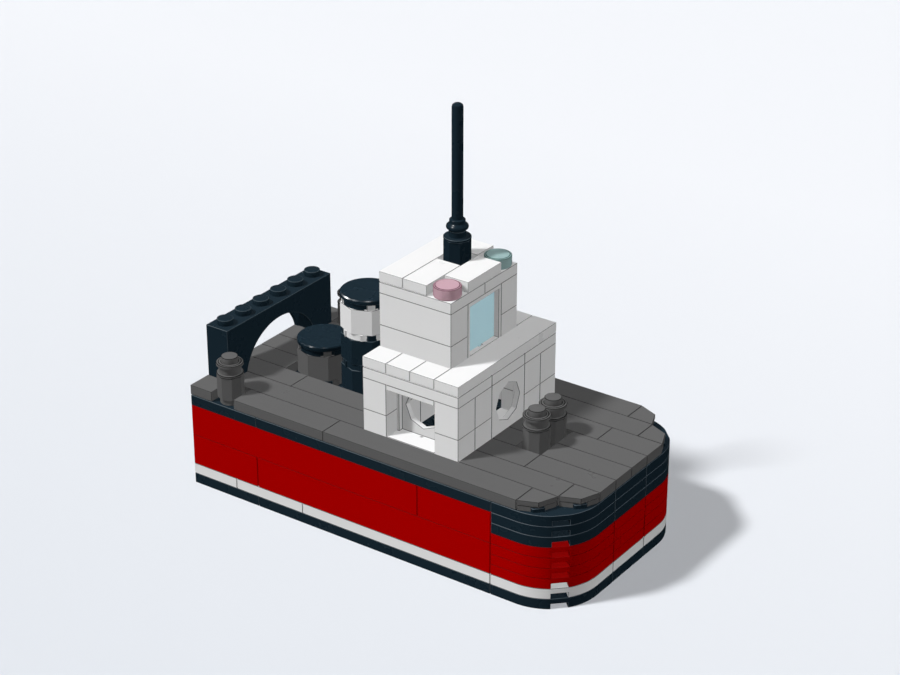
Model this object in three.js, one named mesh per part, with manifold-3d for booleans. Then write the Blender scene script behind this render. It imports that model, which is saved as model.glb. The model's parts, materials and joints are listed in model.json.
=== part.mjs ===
// A toy harbour tugboat built from interlocking plastic building bricks.
// Millimetres, +X to the bow, +Y to port, +Z up, origin at the middle of the underside.
// Places are given on the brick grid: x in studs from the stern, y in studs from the
// starboard side, z in plates from the underside.
import * as THREE from 'three';
import { mergeVertices } from 'three/addons/utils/BufferGeometryUtils.js';
import Module from 'manifold-3d';

const wasm = await Module();
wasm.setup();

// Driving dimensions of the brick system
const PITCH = 8; // from stud to stud
const PLATE = 3.2; // height of a plate or a tile, a third of a brick
const CLEARANCE = 0.1; // a side face stands this far inside its grid line
const WALL = 1.5; // moulded wall
const STUD_RADIUS = 2.4;
const STUD_HEIGHT = 1.7;
const STUD_SIDES = 16;
const SEAM_DEPTH = 0.8; // bricks that share a solid are joined behind this
const ROUND_SIDES = 8; // round bricks are moulded as eight flats
const RIM_SIDES = 32;
const GAP = 0.3; // between pieces that turn on each other

// Driving dimensions of the boat
const LENGTH_STUDS = 16;
const BEAM_STUDS = 8;
const BOW_STUDS = 3; // length of the plates that make the bow
const BOW_RADIUS = 2 * PITCH;
const NOTCH = { width: 5.3, depth: 3.8, height: 1.8 }; // under each bow corner plate
const DECK = 9; // top of the black deck plates
const CABIN = { aft: 7, fore: 11, starboard: 1, port: 7, top: 15 };
const WHEELHOUSE = { aft: 7, fore: 10, starboard: 2, port: 6, bottom: 16, top: 22 };
const ROOF = 16; // top of the cabin's roof plates
const ARCH_RADIUS = 2 * PITCH;
const ARCH_HEIGHT = 14.4; // the arch is a little flatter than a half circle
// Walls of the porthole brick; its side walls reach only a short way back from the holed face
const PORTHOLE = { radius: 5.8, centre: 11.2, face: 1.75, side: 0.8, depth: 3.2, sill: PLATE, head: 1.6 };
const WINDOW = { side: 1, sill: PLATE, head: 1.3 };
const GLASS = { thickness: 1.2, recess: 1.45 };
const BASE = { roof: 1.2, tubeRadius: 3.25, tubeBore: 2.4, tubeSides: 12 }; // underside of the lowest plates
const FOOT = { inset: 0.55, height: 1.8 }; // narrow lower ring of a 2 x 2 round piece
const POST_FOOT = { radius: 3.2, height: 1.7 }; // narrow lower ring of a 1 x 1 round piece
const STUD_NOTCH_WIDTH = 2.6; // in the lower ring of a 2 x 2 round piece

const COLOURS = {
  black: 0x1b2a34,
  white: 0xf4f4f4,
  red: 0xb40000,
  deckGrey: 0x646464,
  glass: 0xaee9ef,
  redLamp: 0xe8a6b8,
  greenLamp: 0x9fd6cd,
};

const group = new THREE.Group();

function material(colour) {
  return new THREE.MeshStandardMaterial({ color: COLOURS[colour], roughness: 0.3, metalness: 0 });
}

// Solids

function solid(geometry) {
  const bare = geometry.index ? geometry.toNonIndexed() : geometry.clone();
  bare.deleteAttribute('normal');
  bare.deleteAttribute('uv');
  const merged = mergeVertices(bare, 1e-4);
  return new wasm.Manifold(new wasm.Mesh({
    numProp: 3,
    vertProperties: new Float32Array(merged.attributes.position.array),
    triVerts: new Uint32Array(merged.index.array),
  }));
}

function join(solids) {
  return solids.reduce((whole, next) => whole.add(next));
}

function cut(whole, solids) {
  return solids.reduce((rest, next) => rest.subtract(next), whole);
}

function place(name, colour, whole) {
  const { vertProperties, triVerts } = whole.getMesh();
  const geometry = new THREE.BufferGeometry();
  geometry.setAttribute('position', new THREE.BufferAttribute(new Float32Array(vertProperties), 3));
  geometry.setIndex(new THREE.BufferAttribute(new Uint32Array(triVerts), 1));
  geometry.computeVertexNormals();
  const piece = new THREE.Mesh(geometry, material(colour));
  piece.name = name;
  group.add(piece);
  return piece;
}

// Grid places in millimetres

const gridX = (studs) => (studs - LENGTH_STUDS / 2) * PITCH;
const gridY = (studs) => (studs - BEAM_STUDS / 2) * PITCH;
const gridZ = (plates) => plates * PLATE;

function box(x0, y0, z0, x1, y1, z1) {
  const geometry = new THREE.BoxGeometry(x1 - x0, y1 - y0, z1 - z0);
  geometry.translate((x0 + x1) / 2, (y0 + y1) / 2, (z0 + z1) / 2);
  return solid(geometry);
}

// A brick between grid places: [aft, starboard, bottom, fore, port, top]
function brick([x0, y0, z0, x1, y1, z1], inset = CLEARANCE) {
  return box(
    gridX(x0) + inset, gridY(y0) + inset, gridZ(z0),
    gridX(x1) - inset, gridY(y1) - inset, gridZ(z1),
  );
}

// What joins bricks that share one solid: it stays behind their seams on the sides and the top
function core([x0, y0, z0, x1, y1, z1]) {
  return box(
    gridX(x0) + SEAM_DEPTH, gridY(y0) + SEAM_DEPTH, gridZ(z0),
    gridX(x1) - SEAM_DEPTH, gridY(y1) - SEAM_DEPTH, gridZ(z1) - SEAM_DEPTH,
  );
}

function bonded(bricks, cores) {
  return join([...bricks.map((b) => brick(b)), ...cores.map(core)]);
}

function prism(outline, z0, z1, segments = 8) {
  const geometry = new THREE.ExtrudeGeometry(outline, {
    depth: z1 - z0, bevelEnabled: false, curveSegments: segments,
  });
  geometry.translate(0, 0, z0);
  return solid(geometry);
}

function polygon(points) {
  return new THREE.Shape(points.map(([x, y]) => new THREE.Vector2(x, y)));
}

// A turned form about a vertical line through a grid place; the profile holds [radius, height]
function turned(profile, x, y, z, sides) {
  const points = profile.map(([radius, height]) => new THREE.Vector2(radius, height));
  const geometry = new THREE.LatheGeometry(points, sides);
  geometry.rotateX(Math.PI / 2);
  geometry.translate(gridX(x), gridY(y), gridZ(z));
  return solid(geometry);
}

function disc(radius, z0, z1, x, y, z, sides) {
  return turned([[0, z0], [radius, z0], [radius, z1], [0, z1]], x, y, z, sides);
}

function stud(x, y, z) {
  return disc(STUD_RADIUS, -SEAM_DEPTH, STUD_HEIGHT, x, y, z, STUD_SIDES);
}

function studs(x0, y0, x1, y1, z) {
  const found = [];
  for (let x = x0; x < x1; x += 1) {
    for (let y = y0; y < y1; y += 1) found.push(stud(x + 0.5, y + 0.5, z));
  }
  return found;
}

// Hull

const BOW_AFT = LENGTH_STUDS - BOW_STUDS;
const BOW_PLATES = [[0, 3], [3, 5], [5, 8]]; // starboard corner, middle and port corner, by y
const BOW_CORNERS = [{ y: 2, side: -1 }, { y: BEAM_STUDS - 2, side: 1 }];

// The outline of the bow, set in by a distance
function bowOutline(inset) {
  const radius = BOW_RADIUS - inset;
  const centre = gridX(LENGTH_STUDS) - BOW_RADIUS;
  const half = gridY(BEAM_STUDS) - BOW_RADIUS;
  const outline = new THREE.Shape();
  outline.moveTo(gridX(BOW_AFT) + inset, -half - radius);
  outline.lineTo(centre, -half - radius);
  outline.absarc(centre, -half, radius, -Math.PI / 2, 0, false);
  outline.absarc(centre, half, radius, 0, Math.PI / 2, false);
  outline.lineTo(gridX(BOW_AFT) + inset, half + radius);
  return outline;
}

// A block across the diagonal of a bow corner, grown by a wall where one stands round it
function cornerBlock({ y, side }, z0, z1, grow = 0) {
  const geometry = new THREE.BoxGeometry(2 * (NOTCH.depth + grow), NOTCH.width + 2 * grow, z1 - z0);
  geometry.rotateZ(side * Math.PI / 4);
  geometry.translate(
    gridX(LENGTH_STUDS) - BOW_RADIUS * (1 - Math.SQRT1_2),
    gridY(y) + side * BOW_RADIUS * Math.SQRT1_2,
    (z0 + z1) / 2,
  );
  return solid(geometry);
}

// Each layer has a notch under both corner plates, which clears a stud outside the curve
function bowLayer(z) {
  const rounded = prism(bowOutline(CLEARANCE), gridZ(z), gridZ(z + 1));
  const plates = BOW_PLATES.map(([y0, y1]) => rounded.intersect(
    brick([BOW_AFT, y0, z, LENGTH_STUDS, y1, z + 1]),
  ));
  const backing = prism(bowOutline(SEAM_DEPTH), gridZ(z), gridZ(z + 1) - SEAM_DEPTH);
  const notches = BOW_CORNERS.map(
    (corner) => cornerBlock(corner, gridZ(z), gridZ(z) + NOTCH.height),
  );
  return cut(join([...plates, backing]), notches);
}

function bowStack(z0, z1) {
  const layers = [];
  for (let z = z0; z < z1; z += 1) layers.push(bowLayer(z));
  return join(layers);
}

// Straight courses of the hull, each from the stern to the bow plates
const COURSES = [
  { name: 'hull_stripe_stern', colour: 'white', x: [0, 2], z: [1, 2] },
  { name: 'hull_stripe_aft', colour: 'white', x: [2, 5], z: [1, 2] },
  { name: 'hull_stripe_main', colour: 'white', x: [5, 13], z: [1, 2] },
  { name: 'hull_lower_course_aft', colour: 'red', x: [0, 3], z: [2, 5] },
  { name: 'hull_lower_course_main', colour: 'red', x: [3, 13], z: [2, 5] },
  { name: 'hull_upper_course_main', colour: 'red', x: [0, 10], z: [5, 8] },
  { name: 'hull_upper_course_fore', colour: 'red', x: [10, 13], z: [5, 8] },
  { name: 'deck_plate_aft', colour: 'black', x: [0, 3], z: [8, 9] },
];
for (const { name, colour, x, z } of COURSES) {
  place(name, colour, brick([x[0], 0, z[0], x[1], BEAM_STUDS, z[1]]));
}

const BOW_STACKS = [
  { name: 'bow_stripe_plates', colour: 'white', z: [1, 2] },
  { name: 'bow_red_plates', colour: 'red', z: [2, 6] },
  { name: 'bow_black_plates', colour: 'black', z: [6, 9] },
];
for (const { name, colour, z } of BOW_STACKS) place(name, colour, bowStack(z[0], z[1]));

// The lowest plates are hollow below, with tubes that grip the studs they are pressed on
const BASE_DEPTH = PLATE - BASE.roof;
const BASE_INSET = CLEARANCE + WALL;

function tube([x, y]) {
  return cut(
    disc(BASE.tubeRadius, 0, BASE_DEPTH + BASE.roof / 2, x, y, 0, BASE.tubeSides),
    [disc(BASE.tubeBore, -PLATE, BASE_DEPTH, x, y, 0, BASE.tubeSides)],
  );
}

// Tubes stand where four studs of one plate meet
function tubesUnder([x0, y0, x1, y1]) {
  const found = [];
  for (let x = x0 + 1; x < x1; x += 1) {
    for (let y = y0 + 1; y < y1; y += 1) found.push(tube([x, y]));
  }
  return found;
}

function hollowUnder([x0, y0, x1, y1]) {
  return box(
    gridX(x0) + BASE_INSET, gridY(y0) + BASE_INSET, -PLATE,
    gridX(x1) - BASE_INSET, gridY(y1) - BASE_INSET, BASE_DEPTH,
  );
}

// Plates of the base, side by side: [aft, starboard, fore, port]
const BASE_PLATES = {
  hull_base_aft: [[0, 0, 3, 2], [0, 2, 3, 4], [0, 4, 3, 6], [0, 6, 3, 8]],
  hull_base_main: [[3, 0, 13, 2], [3, 2, 13, 6], [3, 6, 13, 8]],
};
for (const [name, plates] of Object.entries(BASE_PLATES)) {
  const [aft, , fore] = plates[0];
  const laid = bonded(
    plates.map(([x0, y0, x1, y1]) => [x0, y0, 0, x1, y1, 1]),
    [[aft, 0, 0, fore, BEAM_STUDS, 1]],
  );
  place(name, 'black', join([cut(laid, plates.map(hollowUnder)), ...plates.flatMap(tubesUnder)]));
}

const BOW_TUBES = [[14, 1], [14, 2], [15, 2], [14, 4], [15, 4], [15, 6], [14, 6], [14, 7]];
const bowHollows = BOW_PLATES.map(([y0, y1]) => cut(
  prism(bowOutline(BASE_INSET), -PLATE, BASE_DEPTH)
    .intersect(hollowUnder([BOW_AFT, y0, LENGTH_STUDS, y1])),
  BOW_CORNERS.map((corner) => cornerBlock(corner, -2 * PLATE, PLATE, WALL)),
));
place('bow_base_plates', 'black', join([cut(bowLayer(0), bowHollows), ...BOW_TUBES.map(tube)]));

// The main deck plates are bare inside the cabin, so their studs show there
place('deck_plate_main', 'black', join([
  brick([3, 0, 8, BOW_AFT, BEAM_STUDS, DECK]),
  ...studs(CABIN.aft + 1, CABIN.starboard + 1, CABIN.fore - 1, CABIN.port - 1, DECK),
]));

// Deck tiles, by the stretch of deck that they cover: [aft, starboard, fore, port]
const TILE_TOP = DECK + 1;
const DECK_TILES = {
  deck_tile_stern_starboard: [[0, 0, 1, 1]],
  deck_tile_stern_port: [[0, 7, 1, 8]],
  deck_tiles_starboard: [[2, 0, 6, 1], [6, 0, 14, 1]],
  deck_tiles_port: [[2, 7, 6, 8], [6, 7, 14, 8]],
  deck_tiles_aft: [
    [1, 1, 7, 2], [0, 2, 3, 3], [3, 2, 7, 3], [0, 3, 2, 4], [6, 3, 7, 4],
    [0, 4, 2, 5], [6, 4, 7, 5], [0, 5, 3, 6], [3, 5, 7, 6], [1, 6, 7, 7],
  ],
  deck_tiles_fore: [
    [11, 1, 15, 2], [11, 2, 13, 3], [13, 2, 16, 3], [11, 3, 12, 4], [13, 3, 16, 4],
    [11, 4, 12, 5], [13, 4, 16, 5], [11, 5, 14, 6], [14, 5, 16, 6], [11, 6, 15, 7],
  ],
};
// Backing of each stretch, clear of the round pieces that stand in it
const DECK_BACKING = {
  deck_tiles_starboard: [[2, 0, 14, 1]],
  deck_tiles_port: [[2, 7, 14, 8]],
  deck_tiles_aft: [
    [1, 1, 7, 3], [0, 2, 3, 3], [0, 2, 2, 6], [0, 5, 3, 6], [1, 5, 7, 7], [6, 1, 7, 7],
  ],
  deck_tiles_fore: [
    [11, 1, 15, 3], [11, 2, 16, 3], [13, 2, 16, 6], [11, 5, 16, 6], [11, 5, 15, 7], [11, 1, 12, 7],
  ],
};
// Quarter-round tiles fill the steps of the rounded bow; their curve is two flats
const QUARTER_TILES = {
  deck_tiles_starboard: [{ x: 14, y: 1, side: -1 }],
  deck_tiles_port: [{ x: 14, y: 7, side: 1 }],
  deck_tiles_fore: [{ x: 15, y: 2, side: -1 }, { x: 15, y: 6, side: 1 }],
};

function quarterTile({ x, y, side }) {
  const reach = PITCH - CLEARANCE;
  const diagonal = reach * Math.SQRT1_2;
  const near = -SEAM_DEPTH; // overlaps the next tile's backing
  const outline = polygon([
    [near, CLEARANCE], [reach, CLEARANCE], [diagonal, diagonal], [CLEARANCE, reach], [near, reach],
  ]);
  const geometry = new THREE.ExtrudeGeometry(outline, { depth: PLATE, bevelEnabled: false });
  if (side < 0) geometry.rotateX(Math.PI).translate(0, 0, PLATE);
  geometry.translate(gridX(x), gridY(y), gridZ(DECK));
  return solid(geometry);
}

for (const [name, tiles] of Object.entries(DECK_TILES)) {
  const laid = tiles.map(([x0, y0, x1, y1]) => brick([x0, y0, DECK, x1, y1, TILE_TOP]));
  const backing = (DECK_BACKING[name] ?? []).map(([x0, y0, x1, y1]) => core([x0, y0, DECK, x1, y1, TILE_TOP]));
  const quarters = (QUARTER_TILES[name] ?? []).map(quarterTile);
  place(name, 'deckGrey', join([...laid, ...backing, ...quarters]));
}

// Towing arch over the stern
function archway(radius, height, x0, x1) {
  const outline = new THREE.Shape();
  outline.moveTo(-radius, -PLATE);
  outline.lineTo(radius, -PLATE);
  outline.absellipse(0, 0, radius, height, 0, Math.PI, false, 0);
  const geometry = new THREE.ExtrudeGeometry(outline, {
    depth: x1 - x0, bevelEnabled: false, curveSegments: STUD_SIDES,
  });
  geometry.rotateX(Math.PI / 2).rotateZ(Math.PI / 2);
  geometry.translate(x0, 0, gridZ(DECK));
  return solid(geometry);
}
const ARCH = { starboard: 1, port: 7, top: 15 };
const archWall = CLEARANCE + WALL;
place('towing_arch', 'black', join([
  cut(brick([0, ARCH.starboard, DECK, 1, ARCH.port, ARCH.top]), [
    archway(ARCH_RADIUS, ARCH_HEIGHT, gridX(-1), gridX(2)),
    brick([-1, ARCH.starboard + 1, DECK, 2, ARCH.port - 1, TILE_TOP], 0), // room for the deck tiles
    box( // hollow between its two faces
      gridX(0) + archWall, gridY(ARCH.starboard + 1), gridZ(DECK),
      gridX(1) - archWall, gridY(ARCH.port - 1), gridZ(ARCH.top) - WALL,
    ),
  ]),
  ...studs(0, ARCH.starboard, 1, ARCH.port, ARCH.top),
]));

// Round pieces

const POST_DISC = 0.9; // thickness of the disc on a post's neck

// A 1 x 1 round brick with a 1 x 1 round plate on it, as one post
function post(x, y) {
  const body = PITCH / 2 - CLEARANCE;
  return join([
    disc(POST_FOOT.radius, 0, POST_FOOT.height + SEAM_DEPTH, x, y, DECK, RIM_SIDES / 2),
    disc(body, POST_FOOT.height, 3 * PLATE, x, y, DECK, ROUND_SIDES),
    disc(POST_FOOT.radius, -SEAM_DEPTH, PLATE - POST_DISC + SEAM_DEPTH, x, y, DECK + 3, RIM_SIDES / 2),
    disc(body, PLATE - POST_DISC, PLATE, x, y, DECK + 3, RIM_SIDES / 2),
    stud(x, y, DECK + 4),
  ]);
}
const POSTS = [
  { name: 'bollard_stern_starboard', x: 1.5, y: 0.5 },
  { name: 'bollard_stern_port', x: 1.5, y: 7.5 },
  { name: 'bitt_bow_starboard', x: 12.5, y: 3.5 },
  { name: 'bitt_bow_port', x: 12.5, y: 4.5 },
];
for (const { name, x, y } of POSTS) place(name, 'deckGrey', post(x, y));

// A 2 x 2 round brick or tile: a narrow lower ring notched on the diagonals under a full-width body
function roundTwoByTwo(x, y, z, plates, sides) {
  const body = PITCH - CLEARANCE;
  const notches = [1, 3].map((quarter) => {
    const geometry = new THREE.BoxGeometry(4 * PITCH, STUD_NOTCH_WIDTH, FOOT.height);
    geometry.rotateZ(quarter * Math.PI / 4);
    geometry.translate(gridX(x), gridY(y), gridZ(z) + FOOT.height / 2);
    return solid(geometry);
  });
  const middle = disc(body - FOOT.inset - WALL, 0, FOOT.height + SEAM_DEPTH, x, y, z, RIM_SIDES / 2);
  const ring = cut(disc(body - FOOT.inset, 0, FOOT.height + SEAM_DEPTH, x, y, z, RIM_SIDES), notches);
  return join([ring, middle, disc(body, FOOT.height, plates * PLATE, x, y, z, sides)]);
}
const FUNNELS = [
  { name: 'short_funnel_brick', colour: 'deckGrey', x: 3, z: 9, plates: 3, sides: ROUND_SIDES },
  { name: 'short_funnel_cap', colour: 'black', x: 3, z: 12, plates: 1, sides: RIM_SIDES },
  { name: 'tall_funnel_lower_brick', colour: 'black', x: 5, z: 9, plates: 3, sides: ROUND_SIDES },
  { name: 'tall_funnel_upper_brick', colour: 'black', x: 5, z: 12, plates: 3, sides: ROUND_SIDES },
  { name: 'tall_funnel_band', colour: 'white', x: 5, z: 15, plates: 3, sides: ROUND_SIDES },
  { name: 'tall_funnel_cap', colour: 'black', x: 5, z: 18, plates: 1, sides: RIM_SIDES },
];
for (const { name, colour, x, z, plates, sides } of FUNNELS) {
  place(name, colour, roundTwoByTwo(x, BEAM_STUDS / 2, z, plates, sides));
}

// Cabin: one-stud walls round an empty room

// A porthole brick in its own frame: width along X, its holed face at Y = 0, open at +Y
function portholeBrick() {
  const half = PITCH - CLEARANCE;
  const depth = PITCH - 2 * CLEARANCE;
  const height = gridZ(CABIN.top - DECK);
  const drill = new THREE.CylinderGeometry(PORTHOLE.radius, PORTHOLE.radius, PITCH, ROUND_SIDES);
  drill.translate(0, 0, PORTHOLE.centre);
  const head = height - PORTHOLE.head;
  return cut(box(-half, 0, 0, half, depth, height), [
    box(-half + PORTHOLE.side, PORTHOLE.face, PORTHOLE.sill, half - PORTHOLE.side, PITCH, head),
    box(-PITCH, PORTHOLE.depth, PORTHOLE.sill, PITCH, PITCH, head),
    solid(drill),
  ]);
}

const CABIN_WALLS = {
  cabin_wall_stern: {
    bricks: [[7, 1, 8, 3], [7, 3, 8, 5], [7, 5, 8, 7]], backing: [7, 1, 8, 7],
  },
  cabin_corner_starboard: { bricks: [[10, 1, 11, 2], [10, 2, 11, 3]], backing: [10, 1, 11, 3] },
  cabin_corner_port: { bricks: [[10, 5, 11, 6], [10, 6, 11, 7]], backing: [10, 5, 11, 7] },
};
for (const [name, { bricks, backing: [x0, y0, x1, y1] }] of Object.entries(CABIN_WALLS)) {
  const laid = bricks.map(([a, b, c, d]) => [a, b, DECK, c, d, CABIN.top]);
  place(name, 'white', bonded(laid, [[x0, y0, DECK, x1, y1, CABIN.top]]));
}

// The bow porthole faces out; the side ones are turned round, so their open side shows
const PORTHOLES = [
  { name: 'porthole_bow', x: gridX(11) - CLEARANCE, y: gridY(4), turn: Math.PI / 2 },
  { name: 'porthole_starboard', x: gridX(9), y: gridY(2) - CLEARANCE, turn: Math.PI },
  { name: 'porthole_port', x: gridX(9), y: gridY(6) + CLEARANCE, turn: 0 },
];
for (const { name, x, y, turn } of PORTHOLES) {
  const piece = place(name, 'white', portholeBrick());
  piece.rotation.z = turn;
  piece.position.set(x, y, gridZ(DECK));
}

place('cabin_roof_plates', 'white', bonded(
  [1, 3, 5].map((y) => [CABIN.aft, y, CABIN.top, CABIN.fore, y + 2, ROOF]),
  [[CABIN.aft, CABIN.starboard, CABIN.top, CABIN.fore, CABIN.port, ROOF]],
));
place('cabin_roof_tile_bow', 'white', brick([
  CABIN.fore - 1, CABIN.starboard, ROOF, CABIN.fore, CABIN.port, ROOF + 1,
]));
const ROOF_TILES = [
  { name: 'cabin_roof_tiles_starboard', y: CABIN.starboard },
  { name: 'cabin_roof_tiles_port', y: CABIN.port - 1 },
];
for (const { name, y } of ROOF_TILES) {
  place(name, 'white', bonded(
    [7, 8, 9].map((x) => [x, y, ROOF, x + 1, y + 1, ROOF + 1]),
    [[CABIN.aft, y, ROOF, CABIN.fore - 1, y + 1, ROOF + 1]],
  ));
}

// Wheelhouse
const { aft, fore, starboard, port, bottom, top } = WHEELHOUSE;
place('wheelhouse_wall_starboard', 'white', brick([aft, starboard, bottom, fore, starboard + 1, top]));
place('wheelhouse_wall_port', 'white', brick([aft, port - 1, bottom, fore, port, top]));
place('wheelhouse_wall_stern', 'white', brick([aft, starboard + 1, bottom, aft + 1, port - 1, top]));

const windowFore = gridX(fore) - CLEARANCE;
const windowHalf = PITCH - CLEARANCE - WINDOW.side;
const windowBottom = gridZ(bottom) + WINDOW.sill;
const windowTop = gridZ(top) - WINDOW.head;
place('wheelhouse_window_frame', 'white', cut(
  brick([fore - 1, starboard + 1, bottom, fore, port - 1, top]),
  [box(gridX(fore - 1) - PLATE, -windowHalf, windowBottom, gridX(fore) + PLATE, windowHalf, windowTop)],
));
const glassFore = windowFore - GLASS.recess;
place('wheelhouse_window_glass', 'glass', box(
  glassFore - GLASS.thickness, -windowHalf, windowBottom, glassFore, windowHalf, windowTop,
));

place('wheelhouse_roof_plates', 'white', bonded(
  [[aft, starboard, top, fore, starboard + 2, top + 1], [aft, port - 2, top, fore, port, top + 1]],
  [[aft, starboard, top, fore, port, top + 1]],
));
const LID = top + 1; // top of the wheelhouse's roof plates
const onRoof = ([x0, y0, x1, y1]) => [x0, y0, LID, x1, y1, LID + 1];
place('wheelhouse_roof_tiles', 'white', bonded(
  [[7, 2, 8, 6], [8, 2, 9, 4], [8, 5, 9, 6], [9, 3, 10, 5]].map(onRoof),
  [[7, 2, 8, 6], [7, 2, 9, 4], [7, 5, 9, 6], [8, 3, 10, 4]].map(onRoof),
));

const LAMPS = [
  { name: 'lamp_red', colour: 'redLamp', y: 2.5 },
  { name: 'lamp_green', colour: 'greenLamp', y: 5.5 },
];
for (const { name, colour, y } of LAMPS) {
  place(name, colour, disc(PITCH / 2 - CLEARANCE, 0, PLATE, fore - 0.5, y, LID, RIM_SIDES));
}

// Mast: a round brick with an open stud, and a whip aerial whose pin turns in that stud
const MAST = { x: 8.5, y: 4.5, foot: LID, seat: LID + 3, top: 38 };
const PIN_RADIUS = 1.45;
const BAR_RADIUS = 1.6;
place('mast_base', 'black', cut(
  join([
    disc(POST_FOOT.radius, 0, POST_FOOT.height + SEAM_DEPTH, MAST.x, MAST.y, MAST.foot, RIM_SIDES / 2),
    disc(PITCH / 2 - CLEARANCE, POST_FOOT.height, 3 * PLATE, MAST.x, MAST.y, MAST.foot, ROUND_SIDES),
    stud(MAST.x, MAST.y, MAST.seat),
  ]),
  [disc(PIN_RADIUS + GAP, -PLATE, PLATE, MAST.x, MAST.y, MAST.seat, STUD_SIDES)],
));

const mastHeight = (MAST.top - MAST.seat) * PLATE;
const MAST_PROFILE = [ // radius, height over the seat
  [0, -PLATE / 2], [PIN_RADIUS, -PLATE / 2], [PIN_RADIUS, STUD_HEIGHT + GAP],
  [2.4, STUD_HEIGHT + GAP], [2.95, 2.3], [3.15, 2.8], [2.95, 3.3], [2.1, 3.7],
  [2.1, 4.1], [2.3, 4.3], [2.3, 5.3], [BAR_RADIUS, 5.6],
  [BAR_RADIUS, mastHeight - 0.9], [1.2, mastHeight - 0.3], [0, mastHeight],
];
place('mast', 'black', turned(MAST_PROFILE, MAST.x, MAST.y, MAST.seat, STUD_SIDES));

export default group;
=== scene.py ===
# %% [markdown]
# # A toy tugboat of plastic bricks
#
# The boat is a toy of about 13 cm, pressed together from small moulded bricks, plates and tiles. A
# Blender beginner can learn from it how far a few simple forms go: nearly every piece here starts as
# a cube or a cylinder, and becomes real through what a mould leaves on it. That is a softened edge, a
# groove at the foot of a tile, a hollow underside with tubes, and a fine seam between neighbours.
#
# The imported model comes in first. It fixes every size and place, and nothing below moves it.

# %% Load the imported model
import json
import math

import bmesh
import bpy
from mathutils import Matrix, Vector


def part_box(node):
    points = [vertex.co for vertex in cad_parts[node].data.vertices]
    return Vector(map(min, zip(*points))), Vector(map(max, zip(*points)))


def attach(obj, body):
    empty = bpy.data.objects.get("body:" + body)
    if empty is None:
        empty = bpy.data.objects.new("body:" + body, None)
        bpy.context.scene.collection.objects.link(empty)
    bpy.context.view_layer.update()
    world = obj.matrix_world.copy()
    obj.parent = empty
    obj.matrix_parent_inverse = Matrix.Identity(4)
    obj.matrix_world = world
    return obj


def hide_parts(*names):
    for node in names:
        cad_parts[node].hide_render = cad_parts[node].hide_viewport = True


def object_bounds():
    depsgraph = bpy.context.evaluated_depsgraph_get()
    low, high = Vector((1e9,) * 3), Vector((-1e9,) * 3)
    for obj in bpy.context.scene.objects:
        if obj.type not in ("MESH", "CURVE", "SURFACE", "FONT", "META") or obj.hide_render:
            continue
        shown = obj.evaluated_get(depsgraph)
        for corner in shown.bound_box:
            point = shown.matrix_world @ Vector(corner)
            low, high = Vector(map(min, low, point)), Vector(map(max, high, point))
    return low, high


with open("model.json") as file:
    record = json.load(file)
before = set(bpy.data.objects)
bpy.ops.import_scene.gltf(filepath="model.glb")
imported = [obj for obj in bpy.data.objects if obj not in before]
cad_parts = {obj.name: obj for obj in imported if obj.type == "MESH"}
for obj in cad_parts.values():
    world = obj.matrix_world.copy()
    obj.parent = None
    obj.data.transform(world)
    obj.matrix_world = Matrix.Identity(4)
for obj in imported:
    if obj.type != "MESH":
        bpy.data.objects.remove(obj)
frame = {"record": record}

cad_box = [[float(value) for value in corner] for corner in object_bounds()]
print("packed model, low and high corner in metres:", cad_box)

# %% [markdown]
# ## Camera
#
# The picture to match was taken from the starboard bow, a little above the boat, through a long
# lens: the far edges hardly shrink. The place and the lens were fitted to the tip of the mast and to
# 64 corners of bricks, whose real places are known because every brick stands on one grid. A long
# lens far away is the way to get this calm look. A short lens near by would make the bow loom.

# %% Camera
camera_data = bpy.data.cameras.new("studio_camera")
camera_data.lens = 94.55
camera_data.sensor_width = 36
camera_data.clip_start = 0.01
camera_data.clip_end = 50
camera = bpy.data.objects.new("studio_camera", camera_data)
bpy.context.scene.collection.objects.link(camera)
camera.location = (0.34099, -0.47695, 0.34711)
looking = Vector((-0.51526, 0.73006, -0.44895))
camera.rotation_euler = looking.to_track_quat("-Z", "Y").to_euler()
bpy.context.scene.camera = camera
print("camera stands", round(camera.location.length * 1000), "mm from the middle of the underside")

# %% [markdown]
# ## Light
#
# One soft lamp behind the starboard quarter lights the tops most, the starboard side less and
# leaves the bow in shade, so the three directions of every brick read at once. A sun light with a
# wide disc does this evenly over the whole model, where an area light would fall off.
#
# A weaker fill light comes from the opposite side, over the port bow, and keeps the bow's faces from
# all looking alike. White walls of a small studio send light into every corner. Two suns as wide as
# the whole sky, one from above and one from below, add up to light that is the same from all
# directions. With their shadows off, these three also reach into the recesses, the portholes and the
# cabin. Colours leave the camera unchanged, because the plastic's own colours are the point here.

# %% Light
bpy.context.scene.view_settings.view_transform = "Standard"
bpy.context.scene.view_settings.look = "None"


def sun(name, travel, energy, angle, shadows=True):
    """A sun light: the direction its light travels in, its strength, and how wide its disc is."""
    data = bpy.data.lights.new(name, "SUN")
    data.energy = energy
    data.angle = math.radians(angle)
    data.use_shadow = shadows
    data.cycles.use_multiple_importance_sampling = shadows  # or rays that are blocked would count
    lamp = bpy.data.objects.new(name, data)
    lamp.rotation_euler = Vector(travel).to_track_quat("-Z", "Y").to_euler()
    bpy.context.scene.collection.objects.link(lamp)
    return lamp


sun("key_lamp", travel=(0.386, 0.497, -0.777), energy=2.9, angle=7)
SHADOWLESS = [  # name, travel, energy, width in degrees
    ("fill_lamp", (-0.41, -0.529, -0.743), 1.0, 30),
    ("light_from_ceiling", (0, 0, -1), 0.78, 180),
    ("light_from_table", (0, 0, 1), 1.08, 180),
]
for name, travel, energy, width in SHADOWLESS:
    sun(name, travel, energy, width, shadows=False).visible_glossy = False


# %% [markdown]
# ## A helper for material nodes
#
# A node material is a chain of small steps. In the editor each step is added, set and wired by
# hand. One function does the same here for any kind of node, and one turns the colours that
# people read, sRGB hex values, into the linear ones that the shader mixes.

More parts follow.
